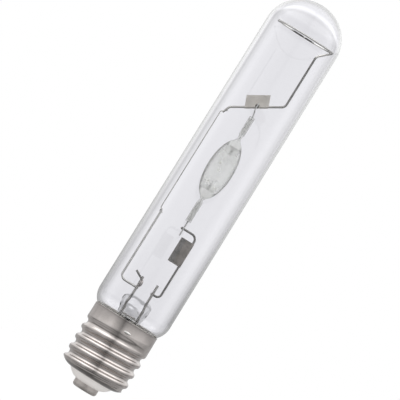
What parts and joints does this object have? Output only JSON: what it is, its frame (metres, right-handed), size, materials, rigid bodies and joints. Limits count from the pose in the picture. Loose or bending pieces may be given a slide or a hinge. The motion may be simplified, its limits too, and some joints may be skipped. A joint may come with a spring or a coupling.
{
  "type": "metal halide lamp",
  "caption": "Tubular high-intensity discharge lamp: clear domed bulb over a wire frame with an ellipsoidal arc tube, on a large rolled screw cap with a centre contact.",
  "frame": {"origin": "middle of the centre contact's end face, which is the lowest point of the lamp", "axes": "+Z along the lamp's axis from the cap to the dome, +X to the side of the upper support leg, -Y to the front of the sheet-metal plates"},
  "size_m": [0.045, 0.045, 0.2502],
  "materials": {
    "bulb_glass": "clear drawn glass, polished",
    "stem_glass": "clear pressed glass with an uneven surface",
    "quartz": "fused quartz, milky body with white coated ends",
    "cap_metal": "satin nickel plating on rolled brass",
    "contact_metal": "dull nickel plating",
    "solder": "bright solder",
    "insulator": "off-white glaze",
    "cement": "matt, hardened cement",
    "nickel_wire": "drawn nickel wire, satin",
    "molybdenum": "grey refractory metal, matt",
    "tungsten": "dark grey refractory metal, matt",
    "shield_sheet": "light nickel sheet, satin",
    "getter_sheet": "dark oxidised nickel sheet, matt",
    "getter_powder": "pressed metal powder, matt and grainy",
    "halide": "condensed salt, glossy beads"
  },
  "bodies": {
    "root": {"outer_bulb": "bulb_glass", "glass_stem": "stem_glass", "exhaust_tube": "stem_glass", "cap_shell": "cap_metal", "cap_insulator": "insulator", "centre_contact": "contact_metal", "contact_solder": "solder", "side_solder": "solder", "cap_cement": "cement", "shell_lead_wire": "nickel_wire", "contact_lead_wire": "nickel_wire", "lead_in_wire_left": "nickel_wire", "lead_in_wire_right": "nickel_wire", "lead_stub": "nickel_wire", "weld_slug": "nickel_wire", "left_support_wire": "nickel_wire", "return_wire": "nickel_wire", "lower_support_wire": "nickel_wire", "upper_support_wire": "nickel_wire", "dome_ring": "nickel_wire", "shield_plate": "shield_sheet", "getter_plate": "getter_sheet", "getter_strip": "getter_powder", "arc_tube": "quartz", "upper_foil": "molybdenum", "lower_foil": "molybdenum", "upper_electrode": "tungsten", "lower_electrode": "tungsten", "upper_arc_lead": "molybdenum", "lower_arc_lead": "molybdenum", "halide_beads": "halide"}
  },
  "joints": []
}
